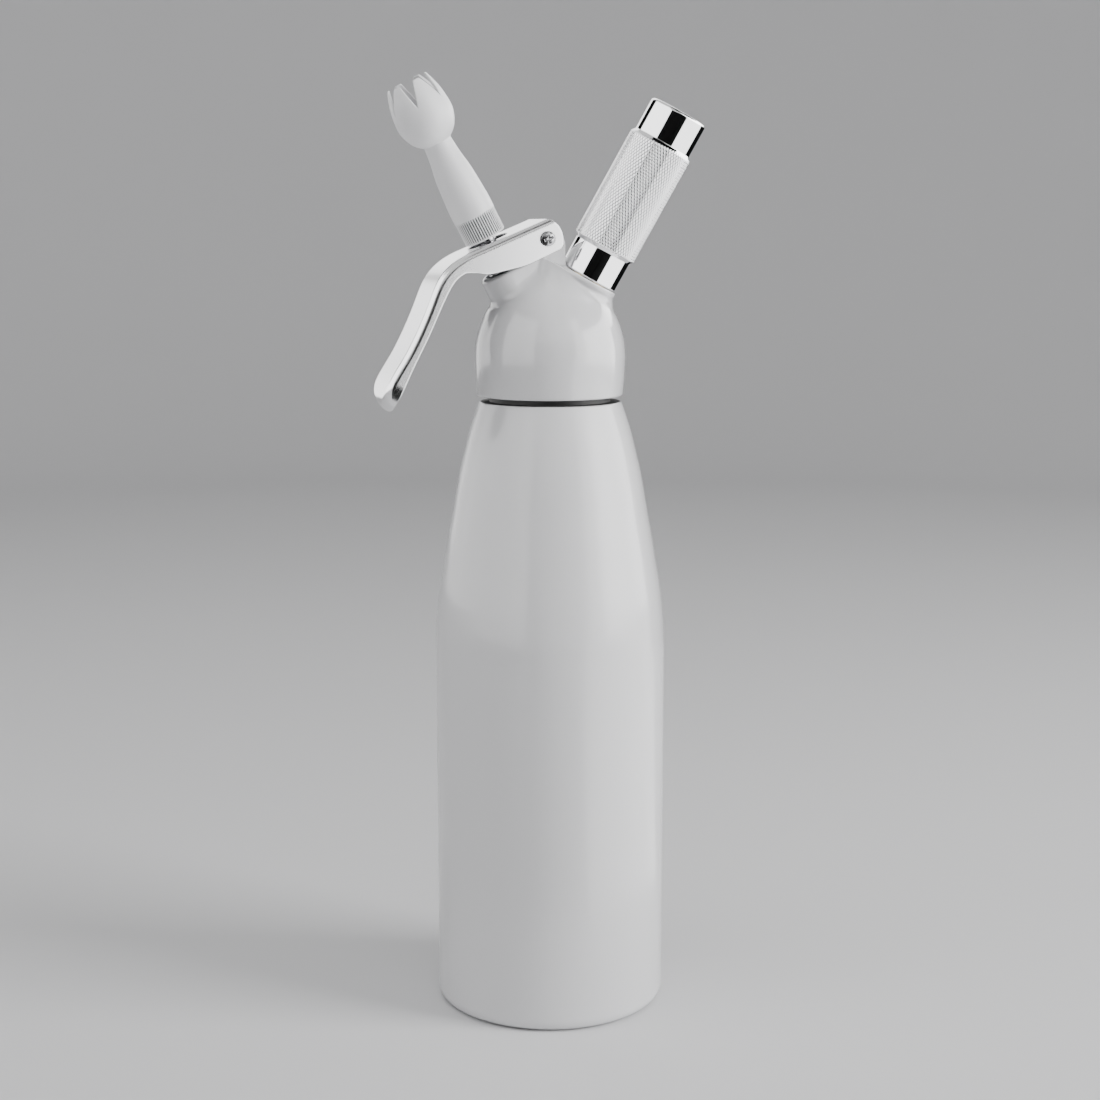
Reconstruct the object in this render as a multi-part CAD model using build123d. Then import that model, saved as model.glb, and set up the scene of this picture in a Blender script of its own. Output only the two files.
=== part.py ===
from build123d import *
import math
import os

# Whipped cream dispenser: an aluminium bottle, a screw-on cast head with a
# push-down spout valve worked by a channel lever, a screw-on decorating nozzle,
# and a screw-on charger holder over a piercing inlet.
# Millimetres. Origin: centre of the bottle's base, on its axis. +Z up.
# The lever and the nozzle lean towards -X in the XZ plane. The charger holder
# leans to the other side, 25 degrees off that plane, towards +X and a little -Y.

# ---------------------------------------------------------------- dimensions
# bottle
BODY_R = 44.0          # cylinder radius
BODY_H = 145.5         # height at which the shoulder starts
WALL = 1.5             # wall of the drawn bottle
BASE_FILLET = 4.5
FOOT_R = 39.5          # flat foot
PAD_R = 12.0           # flat centre pad, level with the foot
BASE_RECESS = 1.6      # ring recess between pad and foot
SHOULDER = [(145.5, 44.0), (153.7, 43.44), (161.6, 42.54), (169.5, 41.24),
            (177.3, 39.94), (185.0, 38.64), (192.8, 37.14), (200.5, 35.85),
            (208.2, 34.4), (215.9, 32.6), (223.5, 30.65), (229.8, 28.65),
            (233.6, 27.3)]
RIM_Z, RIM_R = 235.2, 26.4
NECK_R = 22.9          # thread root
NECK_CREST_R = 23.6
NECK_BORE_R = 21.3
NECK_TOP = 249.0
THREAD_PITCH = 4.0

# head casting
SKIRT_Z = 236.8
SKIRT = [(237.7, 27.8), (242.5, 28.16), (246.3, 28.36), (251.5, 28.56)]
DOME_Z, DOME_R, DOME_B = 251.5, 28.56, 31.5    # ellipsoid above the skirt
SKIRT_BORE_R = 24.0
GASKET_Z = 249.05
SEAT_Z = 252.0
CAVITY_R, CAVITY_B = 19.0, 12.5

# spout axis: through the middle of the boss's top plane, leaning to -X
SPOUT_TILT = 28.3
SPOUT_O = (-19.1, 0, 283.85)
BOSS_R = 9.0
BUSH_TOP, BUSH_END = -9.0, -20.0
STEM_R, STEM_BORE_R = 3.5, 1.9
STEM_TOP = 23.15
PUSHER_R = 6.5
STEM_TRAVEL = 3.0

# lever
PIVOT = (-5.0, 295.3)  # X, Z
PIVOT_R = 2.6          # holes in the cheeks and the lug
LEVER_W = 21.6
LEVER_T = 1.2
LEVER_BEND_R = 0.8
LUG_R = 5.15
LEVER_OUTER = [(-33.6, 290.9), (-39.0, 288.2), (-43.7, 284.5), (-47.3, 279.6),
               (-50.2, 273.0), (-54.2, 263.9), (-60.6, 252.1), (-65.4, 244.6),
               (-67.2, 239.8), (-66.9, 235.6), (-64.6, 232.3)]
PLATE_REAR = (-4.6, 302.7)
SLOT_L, SLOT_W = 16.0, 9.5

# nozzle, along the spout axis from the boss's top plane
NOZ_S0 = 13.8
NOZ_PROFILE = [(7.55, 20.45), (6.92, 26.75), (5.95, 32.45), (5.5, 36.45), (5.34, 38.55)]
BULB = [(5.34, 38.55), (8.47, 41.45), (9.57, 43.35), (10.3, 45.25), (10.8, 47.35),
        (10.88, 49.25), (10.57, 52.55), (9.94, 56.25), (8.76, 59.95), (8.05, 61.9)]
NOZ_L = 62.4
PRONGS = 6
CUT_TURN, CUT_APEX, CUT_HALF = 9.6, 53.6, 2.42

# charger holder axis: through the middle of the head's flange
HOLD_TILT = 29.06
HOLD_TURN = -25.0      # from +X towards -Y, seen from above
HOLD_OUT, HOLD_Z = 14.1, 280.91
FLANGE_R, FLANGE_T = 12.4, 1.9
NECK_OUT, UNDER_R = 11.6, 11.8      # upright neck under the flange
HOLD_R, KNURL_R = 11.2, 12.4
HOLD_L = 69.3
KNURL_S, KNURL_E = 11.9, 56.6
HOLD_BORE_R = 9.45
NIPPLE_R = 9.3
CHARGER_R, CHARGER_L = 8.95, 65.0

os.makedirs("parts", exist_ok=True)


def axis_plane(o, tilt, side):
    a = math.radians(tilt)
    z = (side * math.sin(a), 0, math.cos(a))
    x = (math.cos(a), 0, -side * math.sin(a))
    return Plane(origin=o, x_dir=x, z_dir=z)


SPOUT = axis_plane(SPOUT_O, SPOUT_TILT, -1)   # local x points back to the lug
ha, ht = math.radians(HOLD_TURN), math.radians(HOLD_TILT)
HOLD_O = (HOLD_OUT * math.cos(ha), HOLD_OUT * math.sin(ha), HOLD_Z)
HOLD = Plane(origin=HOLD_O, x_dir=(math.cos(ht) * math.cos(ha), math.cos(ht) * math.sin(ha), -math.sin(ht)),
             z_dir=(math.sin(ht) * math.cos(ha), math.sin(ht) * math.sin(ha), math.cos(ht)))


def turned(pts, plane=None):
    """Solid of revolution from (radius, height) corners."""
    f = make_face(Polyline(*pts, close=True))
    s = revolve(Plane.XZ * f, axis=Axis.Z, revolution_arc=360)
    return plane * s if plane else s


def turned_wire(edges, plane=None):
    s = revolve(Plane.XZ * make_face(edges), axis=Axis.Z, revolution_arc=360)
    return plane * s if plane else s


def at(plane, shape):
    return plane * shape


def rod(plane, r, s0, s1, x=0, y=0):
    return plane * (Pos(x, y, s0) * extrude(Circle(r), s1 - s0))


def v(r, z):
    return (r, z)


def ring(plane, r0, r1, s0, s1, c=0.0):
    """Washer or tube, with an optional small chamfer on its outer edges."""
    return turned([(r0, s0), (r1 - c, s0), (r1, s0 + c), (r1, s1 - c), (r1 - c, s1), (r0, s1)]
                  if c else [(r0, s0), (r1, s0), (r1, s1), (r0, s1)], plane)


def oring(plane, r_mid, w, s):
    """Rubber ring of round section w across."""
    t = revolve(Plane.XZ * (Pos(r_mid, s) * Circle(w / 2)), axis=Axis.Z, revolution_arc=360)
    return plane * t


parts = {}

# ------------------------------------------------------------------- bottle
# Drawn shell: foot with a ring recess, straight wall, long tapered shoulder,
# rolled rim and a threaded neck.
W = WALL
outer = Spline(*[v(r, z) for z, r in SHOULDER], tangents=[(0, 1), (-0.36, 1)])


def offset_pts(pts, d):
    """Move a (z, r) list inwards by d along its normals."""
    out = []
    for i, (z, r) in enumerate(pts):
        a = pts[max(i - 1, 0)]
        b = pts[min(i + 1, len(pts) - 1)]
        dz, dr = b[0] - a[0], b[1] - a[1]
        n = math.hypot(dz, dr)
        out.append((z + dr / n * d, r - dz / n * d))
    return out


inner_pts = offset_pts(SHOULDER, W)
inner_pts[0] = (BODY_H, BODY_R - W)
inner = Spline(*[v(r, z) for z, r in inner_pts[:-1]], tangents=[(0, 1), (-0.34, 1)])
i_end = inner_pts[-2]
rim_in = [v(i_end[1], i_end[0]), v(25.2, 232.4), v(24.6, 233.2), v(NECK_BORE_R + 0.8, 233.5),
          v(NECK_BORE_R, 234.3)]
th = []
for k in range(3):
    z0 = 237.6 + k * THREAD_PITCH
    th += [v(NECK_R, z0), v(NECK_CREST_R, z0 + 0.7), v(NECK_CREST_R, z0 + 1.5), v(NECK_R, z0 + 2.2)]
neck_out = [v(NECK_R, RIM_Z)] + th + [v(NECK_R, NECK_TOP - 0.5), v(NECK_R - 0.5, NECK_TOP),
                                      v(NECK_BORE_R + 0.3, NECK_TOP), v(NECK_BORE_R, NECK_TOP - 0.3),
                                      v(NECK_BORE_R, 234.3)]
s_end = SHOULDER[-1]
profile = [
    Line(v(0, 0), v(PAD_R, 0)),
    Line(v(PAD_R, 0), v(PAD_R + 2.5, BASE_RECESS)),
    Line(v(PAD_R + 2.5, BASE_RECESS), v(30.5, BASE_RECESS)),
    Line(v(30.5, BASE_RECESS), v(33.0, 0)),
    Line(v(33.0, 0), v(FOOT_R, 0)),
    RadiusArc(v(FOOT_R, 0), v(BODY_R, BASE_FILLET), -BASE_FILLET),
    Line(v(BODY_R, BASE_FILLET), v(BODY_R, BODY_H)),
    outer,
    ThreePointArc(v(s_end[1], s_end[0]), v(26.95, 234.75), v(RIM_R, RIM_Z)),
    Line(v(RIM_R, RIM_Z), v(NECK_R, RIM_Z)),
    Polyline(*neck_out),
    Polyline(*rim_in),
    inner,
    Line(v(BODY_R - W, BODY_H), v(BODY_R - W, 6.0)),
    RadiusArc(v(BODY_R - W, 6.0), v(39.0, 2.5), 3.5),
    Line(v(39.0, 2.5), v(34.0, 2.5)),
    Line(v(34.0, 2.5), v(31.5, 3.7)),
    Line(v(31.5, 3.7), v(0, 3.7)),
    Line(v(0, 3.7), v(0, 0)),
]
parts["bottle"] = turned_wire(profile)

# ------------------------------------------------------------------ gasket
parts["head_gasket"] = ring(None, 19.8, 23.6, GASKET_Z, SEAT_Z - 0.1, 0.4)

# ------------------------------------------------------------- head casting
def ell(r, b, zc, t):
    return (r * math.cos(t), zc + b * math.sin(t))


dome_pts = [v(*ell(DOME_R, DOME_B, DOME_Z, math.radians(a))) for a in range(0, 91, 10)]
dome_pts[-1] = v(0, DOME_Z + DOME_B)
cav_pts = [v(*ell(CAVITY_R, CAVITY_B, SEAT_Z, math.radians(a))) for a in range(0, 91, 15)]
cav_pts[-1] = v(0, SEAT_Z + CAVITY_B)
groove = []
for k in range(2, -1, -1):
    z0 = 237.6 + k * THREAD_PITCH
    groove += [v(SKIRT_BORE_R, z0 + 2.6), v(SKIRT_BORE_R + 0.7, z0 + 1.8), v(SKIRT_BORE_R + 0.7, z0 + 0.4),
               v(SKIRT_BORE_R, z0 - 0.4)]
skirt = [
    Line(v(24.8, SKIRT_Z), v(26.9, SKIRT_Z)),
    RadiusArc(v(26.9, SKIRT_Z), v(SKIRT[0][1], SKIRT[0][0]), -0.9),
    Spline(*[v(r, z) for z, r in SKIRT], tangents=[(0.08, 1), (0, 1)]),
    Spline(*dome_pts, tangents=[(0, 1), (-1, 0)]),
    Line(v(0, DOME_Z + DOME_B), v(0, SEAT_Z + CAVITY_B)),
    Spline(*cav_pts[::-1], tangents=[(1, 0), (0, -1)]),
    Polyline(v(CAVITY_R, SEAT_Z), v(SKIRT_BORE_R, SEAT_Z), *groove, v(SKIRT_BORE_R, 237.0), v(24.8, SKIRT_Z)),
]
dome = turned_wire(skirt)

# spout boss: a tongue with a round end under the nozzle, running back to the lug
boss = at(SPOUT, Pos(0, 0, -21) * extrude(Circle(BOSS_R) + Pos(11, 0, 0) * Rectangle(22, 2 * BOSS_R), 21))
# lug between the lever's cheeks, with a straight vertical back
px, pz = PIVOT
sn, cs = math.sin(math.radians(SPOUT_TILT)), math.cos(math.radians(SPOUT_TILT))
back = 2.6
lug2 = Plane.XZ * make_face(Polyline((-10.0, 272.0), (back, 272.0), (back, 294.0), (px + LUG_R * 0.75, pz + LUG_R * 0.66),
                          (px, pz), (px - LUG_R * cs, pz - LUG_R * sn), (px - (LUG_R) * cs + 6 * sn, pz - LUG_R * sn - 6 * cs),
                          close=True))
lug = extrude(lug2, BOSS_R, both=True)
disc = Pos(px, 0, pz) * Rot(90, 0, 0) * extrude(Circle(LUG_R), BOSS_R, both=True)
clear_back = Pos(back + 20, 0, 285) * Box(40, 40, 60)
boss = (boss + lug + disc) - clear_back
boss -= Pos(0, 0, SEAT_Z - 10) * extrude(Circle(60), 10)      # nothing hangs into the cavity's seat

# flange for the charger holder on an upright neck
ca, sa = math.cos(math.radians(HOLD_TURN)), math.sin(math.radians(HOLD_TURN))
flange = Pos(NECK_OUT * ca, NECK_OUT * sa, 255) * extrude(Circle(UNDER_R), 45)
flange -= at(HOLD, Pos(0, 0, 30 - FLANGE_T / 2) * Box(120, 120, 60))
flange += at(HOLD, Pos(0, 0, -FLANGE_T) * extrude(Circle(FLANGE_R), FLANGE_T))
cav = turned_wire([Spline(*cav_pts, tangents=[(0, 1), (-1, 0)]),
                   Line(cav_pts[-1], v(0, SEAT_Z - 6)), Line(v(0, SEAT_Z - 6), v(CAVITY_R, SEAT_Z - 6)),
                   Line(v(CAVITY_R, SEAT_Z - 6), cav_pts[0])])
head = (dome + boss + flange) - cav
# spring pocket, bush bore, valve room
head -= rod(SPOUT, 6.5, -7.6, 1.0)
head -= rod(SPOUT, 5.6, -19.0, 1.0)
head -= rod(SPOUT, 7.0, -40.0, -18.0)
# lug bore for the pivot barrel
head -= Pos(px, 0, pz) * Rot(90, 0, 0) * extrude(Circle(PIVOT_R + 0.02), 20, both=True)
# inlet bore with an O-ring recess in the flange face
head -= rod(HOLD, 5.5, -40.0, 1.0)
head -= rod(HOLD, 8.3, -1.5, 1.0)
parts["head_casting"] = head

# ------------------------------------------------------------- spout valve
parts["stem_bush"] = turned([(STEM_R + 0.06, BUSH_END), (5.2, BUSH_END), (5.55, -19.6), (5.55, -9.0), (4.6, -9.0),
                             (4.6, -7.55), (6.3, -7.55), (6.3, -6.2), (STEM_R + 0.06, -6.2)], SPOUT)
parts["bush_oring"] = oring(SPOUT, 5.1, 0.9, -8.28)
stem = turned([(STEM_BORE_R, -26.4), (2.9, -26.4), (3.1, -26.2), (3.1, -20.08), (STEM_R, -20.06), (STEM_R, -15.2),
               (2.75, -15.2), (2.75, -13.8), (STEM_R, -13.8), (STEM_R, 5.1), (2.9, 5.1), (2.9, 6.0), (STEM_R, 6.0),
               (STEM_R, 14.45)]
              + sum([[(4.1, 14.85 + k * 1.5), (4.1, 15.35 + k * 1.5), (3.7, 15.7 + k * 1.5), (3.7, 16.0 + k * 1.5)]
                     for k in range(5)], [])
              + [(4.1, 22.35), (4.1, STEM_TOP - 0.4), (3.8, STEM_TOP), (STEM_BORE_R, STEM_TOP)], SPOUT)
stem -= at(SPOUT, Pos(0, 0, -18.6) * Rot(90, 0, 0) * extrude(Circle(0.95), 6, both=True))
parts["valve_stem"] = stem
K = 1.2 / PUSHER_R ** 2
S0 = 11.15
parts["stem_pusher"] = turned([(3.53, 6.05), (6.0, 6.05), (PUSHER_R, 6.55), (PUSHER_R, S0 - K * PUSHER_R ** 2 - 0.25)]
                              + [(r, S0 - K * r * r) for r in (6.3, 5.6, 4.9, 4.2, 3.53)], SPOUT)
parts["stem_circlip"] = at(SPOUT, Pos(0, 0, 5.2) * extrude(
    (Circle(5.0) - Circle(2.93)) - Pos(4, 0, 0) * Rectangle(8, 3.2), 0.7))
parts["stem_oring"] = oring(SPOUT, 3.11, 0.72, -14.5)
parts["valve_seal"] = ring(SPOUT, 3.13, 5.3, -22.2, -20.08, 0.25)
parts["seal_washer"] = ring(SPOUT, 3.13, 5.2, -23.1, -22.2)
parts["seal_nut"] = at(SPOUT, Pos(0, 0, -25.7) * extrude(RegularPolygon(4.6, 6) - Circle(3.13), 2.6))

# coil spring around the stem, between the bush and the clip under the pusher
turns, w = 4.5, 1.0
h0, h1 = -6.2 + w / 2 + 0.02, 5.2 - w / 2 - 0.02
helix = Helix(pitch=(h1 - h0) / turns, height=h1 - h0, radius=4.75, center=(0, 0, h0))
wire_face = Plane(origin=helix @ 0, z_dir=helix % 0) * Circle(w / 2)
parts["return_spring"] = at(SPOUT, sweep(wire_face, path=helix, is_frenet=True))

# -------------------------------------------------------------------- pivot
def across(shape):
    """Turn a shape built along +Z to lie along +Y at the pivot."""
    return Pos(px, 0, pz) * Rot(-90, 0, 0) * shape


half = LEVER_W / 2
parts["pivot_barrel"] = across(turned([(0, -4.0), (1.55, -4.0), (1.55, -half - 0.05), (PIVOT_R - 0.05, -half - 0.05),
                                       (PIVOT_R - 0.05, half + 0.12), (4.1, half + 0.12), (4.1, half + 0.7), (3.4, half + 1.35),
                                       (1.8, half + 1.7), (0, half + 1.75)]))
scr = turned([(0, -4.2), (1.2, -4.2), (1.5, -4.5), (1.5, -half - 0.07), (1.6, -half - 0.07), (1.6, -half - 0.12), (2.75, -half - 0.12), (2.75, -half - 0.9),
              (2.35, -half - 1.45), (1.4, -half - 1.75), (0, -half - 1.8)])
slot = Pos(0, 0, -half - 1.35) * (Box(3.6, 0.75, 1.4) + Box(0.75, 3.6, 1.4))
parts["pivot_screw"] = across(scr - slot)
wash = ring(None, PIVOT_R + 0.1, 4.6, BOSS_R + 0.06, half - LEVER_T - 0.06)
parts["pivot_washers"] = Compound([across(wash), across(mirror(wash, about=Plane.XY))])

# -------------------------------------------------------------------- lever
# Pressed channel: flat plate over the boss, cheeks on both sides, long handle
# that curves down, with a round wrapped tip.
def chain(pts, d):
    out = []
    for i, (x, z) in enumerate(pts):
        a, b = pts[max(i - 1, 0)], pts[min(i + 1, len(pts) - 1)]
        dx, dz = b[0] - a[0], b[1] - a[1]
        n = math.hypot(dx, dz)
        out.append((x - dz / n * d, z + dx / n * d))
    return out


def sp(pts, t0=None, t1=None):
    return Spline(*pts, tangents=[t0, t1] if t0 else ())


plate_dir = (LEVER_OUTER[0][0] - PLATE_REAR[0], LEVER_OUTER[0][1] - PLATE_REAR[1])
tip_dir = (0.86, -0.5)
LOWER = [(-63.2, 234.7), (-59.8, 242.8), (-55.3, 251.8), (-50.2, 261.6), (-46.6, 269.3), (-43.4, 275.7),
         (-40.4, 280.2), (-36.6, 282.9)]
outer_e = sp(LEVER_OUTER, plate_dir, tip_dir)
section = Plane.XZ * make_face([
    Line((PLATE_REAR[0], PLATE_REAR[1]), (LEVER_OUTER[0][0], LEVER_OUTER[0][1])),
    outer_e,
    Line(LEVER_OUTER[-1], LOWER[0]),
    sp(LOWER, (0.3, 0.9), (0.9, 0.42)),
    Spline(LOWER[-1], (-33.0, 282.95), (-29.0, 282.5), (-22.1, 283.6), (-14.0, 285.5), (-10.2, 286.95),
           tangents=[(0.9, 0.0), (0.91, 0.42)]),
    Line((-10.2, 286.95), (-0.6, 291.2)),
    ThreePointArc((-0.6, 291.2), (0.85, 292.25), (1.4, 293.9)),
    Line((1.4, 293.9), (1.4, 295.2)),
    ThreePointArc((1.4, 295.2), (-0.4, 299.9), (PLATE_REAR[0], PLATE_REAR[1])),
])
blank = extrude(section, LEVER_W / 2, both=True)
side_edges = [e for e in blank.edges() if abs(abs(e.center().Y) - LEVER_W / 2) < 1e-3
              and (abs(e.length - outer_e.length) < 0.02 or abs(e.length - math.dist(PLATE_REAR, LEVER_OUTER[0])) < 0.02)]
blank = fillet(side_edges, LEVER_BEND_R)
T = LEVER_T
in_top = chain([PLATE_REAR] + LEVER_OUTER[:-2], T)
in_top = in_top[1:]
pd = math.hypot(plate_dir[0], plate_dir[1])
rear_in = (PLATE_REAR[0] + plate_dir[1] / pd * -T, PLATE_REAR[1] + plate_dir[0] / pd * T)
first_in = (LEVER_OUTER[0][0] + plate_dir[1] / pd * -T, LEVER_OUTER[0][1] + plate_dir[0] / pd * T)
in_top[0] = first_in
room = Plane.XZ * make_face([
    Line((rear_in[0], rear_in[1]), (first_in[0], first_in[1])),
    sp(in_top, plate_dir, (0.05, -1)),
    Polyline(in_top[-1], (-52, 225), (10, 225), (10, rear_in[1]), (rear_in[0], rear_in[1])),
])
hollow = extrude(room, LEVER_W / 2 - T, both=True)
rear_cut = Pos(PLATE_REAR[0] + 10, 0, 295) * Box(20, LEVER_W - 2 * T, 30)
# plan shape of the handle's round end, square to its face
hd = (LEVER_OUTER[7][0] - LEVER_OUTER[5][0], LEVER_OUTER[7][1] - LEVER_OUTER[5][1])
hl = math.hypot(*hd)
hd = (hd[0] / hl, hd[1] / hl)
tip = LEVER_OUTER[-1]
face = Plane(origin=(tip[0], 0, tip[1]), x_dir=(-hd[0], 0, -hd[1]), z_dir=(-hd[1], 0, hd[0]))


def plan(inset):
    r = LEVER_W / 2 - inset
    return face * (Pos(0, 0, -40) * extrude(Pos(LEVER_W / 2, 0) * Circle(r) + Pos(LEVER_W / 2 + 60, 0) * Rectangle(120, 2 * r), 80))


lever = (blank & plan(0)) - ((hollow & plan(T)) + rear_cut)
# slot for the stem and holes for the pivot
lever -= SPOUT * (Pos(0, 0, 7.5) * extrude(SlotOverall(SLOT_L, SLOT_W), 8))
lever -= Pos(px, 0, pz) * Rot(90, 0, 0) * extrude(Circle(PIVOT_R), 20, both=True)
parts["lever"] = lever

# ------------------------------------------------------------------- nozzle
n0 = NOZ_S0
nozzle_out = [
    Line(v(4.5, n0), v(7.6, n0)),
    Line(v(7.6, n0), v(7.9, n0 + 0.3)),
    Line(v(7.9, n0 + 0.3), v(7.9, n0 + 8.1)),
    Line(v(7.9, n0 + 8.1), v(8.05, n0 + 8.5)),
    Line(v(8.05, n0 + 8.5), v(8.05, n0 + 12.4)),
    Spline(*[v(r, n0 + s) for r, s in [(8.05, 12.4), (7.9, 16.0)] + NOZ_PROFILE], tangents=[(0, 1), (-0.02, 1)]),
    Spline(*[v(r, n0 + s) for r, s in BULB], tangents=[(0.9, 0.6), (-0.42, 1)]),
    Line(v(8.05, n0 + 61.9), v(7.75, n0 + NOZ_L)),
    Line(v(7.75, n0 + NOZ_L), v(7.05, n0 + NOZ_L)),
    Spline(*[v(r, n0 + s) for r, s in [(7.05, NOZ_L), (7.65, 59.95), (8.85, 55.95), (9.5, 52.45), (9.75, 49.25), (9.6, 46.85), (8.9, 44.65), (7.2, 42.05), (4.3, 39.25)]],
           tangents=[(0.2, -1), (-0.9, -0.6)]),
    Spline(*[v(r, n0 + s) for r, s in [(4.3, 39.25), (4.35, 36.45), (5.2, 26.45), (5.6, 17.0), (4.6, 13.0)]],
           tangents=[(0, -1), (-0.5, -1)]),
    Polyline(v(4.6, n0 + 13.0), v(3.6, n0 + 11.4), v(3.6, n0 + 10.9), v(4.5, n0 + 10.9), v(4.5, n0)),
]
noz = turned_wire(nozzle_out)
h = NOZ_L - CUT_APEX
for k in range(PRONGS):
    a = CUT_TURN + k * 360 / PRONGS
    wedge = make_face(Polyline((0, 0, n0 + CUT_APEX), (0, CUT_HALF * 1.15, n0 + CUT_APEX + h * 1.15),
                               (0, -CUT_HALF * 1.15, n0 + CUT_APEX + h * 1.15), close=True))
    noz -= Rot(0, 0, a) * (Pos(3.0, 0, 0) * extrude(wedge, 12, dir=(1, 0, 0)))
parts["nozzle"] = at(SPOUT, noz)
parts["nozzle_seal"] = ring(SPOUT, 2.0, 4.2, STEM_TOP + 0.1, n0 + 10.8, 0.15)

# ----------------------------------------------------------- charger side
parts["inlet_body"] = turned([(0.8, -17.5), (3.4, -17.5), (3.6, -17.2), (3.6, -13.0), (5.1, -13.0), (5.4, -12.6), (5.4, -0.0),
                              (8.4, 0.05), (NIPPLE_R - 0.6, 0.05), (NIPPLE_R - 0.6, 1.0)]
                             + sum([[(NIPPLE_R, 1.5 + k * 1.7), (NIPPLE_R, 2.1 + k * 1.7), (NIPPLE_R - 0.6, 2.6 + k * 1.7)]
                                    for k in range(4)], [])
                             + [(NIPPLE_R - 0.6, 7.7), (NIPPLE_R - 1.2, 8.3), (4.6, 8.3), (4.2, 7.9), (4.2, 1.2), (1.15, 1.2), (1.15, -2.0), (0.8, -2.0)], HOLD)
parts["inlet_oring"] = oring(HOLD, 6.9, 1.35, -0.72)
parts["piercing_pin"] = turned([(0.45, -1.9), (1.1, -1.9), (1.1, 3.1), (0.85, 4.3), (0.6, 4.9), (0.45, 4.9)], HOLD)
parts["charger_seal"] = ring(HOLD, 1.35, 4.1, 1.22, 2.5, 0.2)
parts["check_valve"] = turned([(0, -18.8), (4.2, -18.8), (4.5, -18.4), (4.5, -13.6), (3.63, -13.6), (3.63, -17.6), (0, -17.6)], HOLD)
# cartridge: hollow steel bottle with a pierced neck
c0 = 2.6
charger = turned_wire([
    Line(v(1.6, c0), v(3.3, c0)), Line(v(3.3, c0), v(3.7, c0 + 0.5)), Line(v(3.7, c0 + 0.5), v(3.7, c0 + 8.0)),
    Spline(v(3.7, c0 + 8.0), v(5.6, c0 + 11.3), v(7.9, c0 + 13.6), v(CHARGER_R, c0 + 17.5), tangents=[(0, 1), (0, 1)]),
    Line(v(CHARGER_R, c0 + 17.5), v(CHARGER_R, c0 + CHARGER_L - 6)),
    Spline(v(CHARGER_R, c0 + CHARGER_L - 6), v(6.9, c0 + CHARGER_L - 1.4), v(0, c0 + CHARGER_L), tangents=[(0, 1), (-1, 0)]),
    Line(v(0, c0 + CHARGER_L), v(0, c0 + CHARGER_L - 1.6)),
    Spline(v(0, c0 + CHARGER_L - 1.6), v(5.8, c0 + CHARGER_L - 2.9), v(CHARGER_R - 1.3, c0 + CHARGER_L - 7), tangents=[(1, 0), (0, -1)]),
    Line(v(CHARGER_R - 1.3, c0 + CHARGER_L - 7), v(CHARGER_R - 1.3, c0 + 18.0)),
    Spline(v(CHARGER_R - 1.3, c0 + 18.0), v(6.6, c0 + 14.6), v(4.2, c0 + 11.8), v(2.3, c0 + 8.6), tangents=[(0, -1), (0, -1)]),
    Line(v(2.3, c0 + 8.6), v(2.3, c0 + 0.8)), Line(v(2.3, c0 + 0.8), v(1.6, c0 + 0.8)), Line(v(1.6, c0 + 0.8), v(1.6, c0)),
])
parts["charger"] = at(HOLD, charger)
g = 0.25
holder = turned_wire([
    Polyline(v(HOLD_BORE_R + 0.5, g), v(HOLD_R - 0.5, g), v(HOLD_R, g + 0.5), v(HOLD_R, KNURL_S), v(KNURL_R, KNURL_S + 1.6),
             v(KNURL_R, KNURL_E - 1.6), v(HOLD_R, KNURL_E), v(HOLD_R, HOLD_L - 1.3)),
    ThreePointArc(v(HOLD_R, HOLD_L - 1.3), v(HOLD_R - 1.3 * (1 - math.sqrt(0.5)), HOLD_L - 1.3 * (1 - math.sqrt(0.5))), v(HOLD_R - 1.3, HOLD_L)),
    Line(v(HOLD_R - 1.3, HOLD_L), v(0, HOLD_L)),
    Line(v(0, HOLD_L), v(0, HOLD_L - 1.5)),
    Polyline(v(0, HOLD_L - 1.5), v(HOLD_BORE_R - 1.2, HOLD_L - 1.5), v(HOLD_BORE_R, HOLD_L - 2.7), v(HOLD_BORE_R, 9.4),
             v(HOLD_BORE_R + 0.5, 8.9), v(HOLD_BORE_R + 0.5, g)),
])
parts["charger_holder"] = at(HOLD, holder)

# -------------------------------------------------------------------- write
for name, shape in parts.items():
    if shape is None:
        print("missing", name)
        continue
    if isinstance(shape, ShapeList):
        shape = Compound(list(shape))
    export_step(shape, f"parts/{name}.step")
    bb = shape.bounding_box()
    print(f"{name:16s} solids {len(shape.solids())} vol {shape.volume:9.1f} valid {shape.is_valid}"
          f" x {bb.min.X:.1f}..{bb.max.X:.1f} y {bb.min.Y:.1f}..{bb.max.Y:.1f} z {bb.min.Z:.1f}..{bb.max.Z:.1f}")
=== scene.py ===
import math

import bpy
import numpy as np
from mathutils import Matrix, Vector


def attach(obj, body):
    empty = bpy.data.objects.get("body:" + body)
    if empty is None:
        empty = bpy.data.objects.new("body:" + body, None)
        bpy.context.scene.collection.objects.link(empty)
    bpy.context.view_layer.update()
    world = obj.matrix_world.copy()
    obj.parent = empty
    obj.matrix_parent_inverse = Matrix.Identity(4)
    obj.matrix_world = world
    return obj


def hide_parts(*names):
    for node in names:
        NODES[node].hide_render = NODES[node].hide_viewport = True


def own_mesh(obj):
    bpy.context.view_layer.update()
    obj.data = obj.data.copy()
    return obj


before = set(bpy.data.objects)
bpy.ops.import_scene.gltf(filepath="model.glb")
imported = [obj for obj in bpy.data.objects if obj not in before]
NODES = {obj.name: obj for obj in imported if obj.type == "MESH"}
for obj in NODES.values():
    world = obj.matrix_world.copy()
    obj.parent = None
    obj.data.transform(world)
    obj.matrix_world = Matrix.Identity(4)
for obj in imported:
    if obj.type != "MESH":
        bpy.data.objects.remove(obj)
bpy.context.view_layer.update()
MM = 0.001

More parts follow.
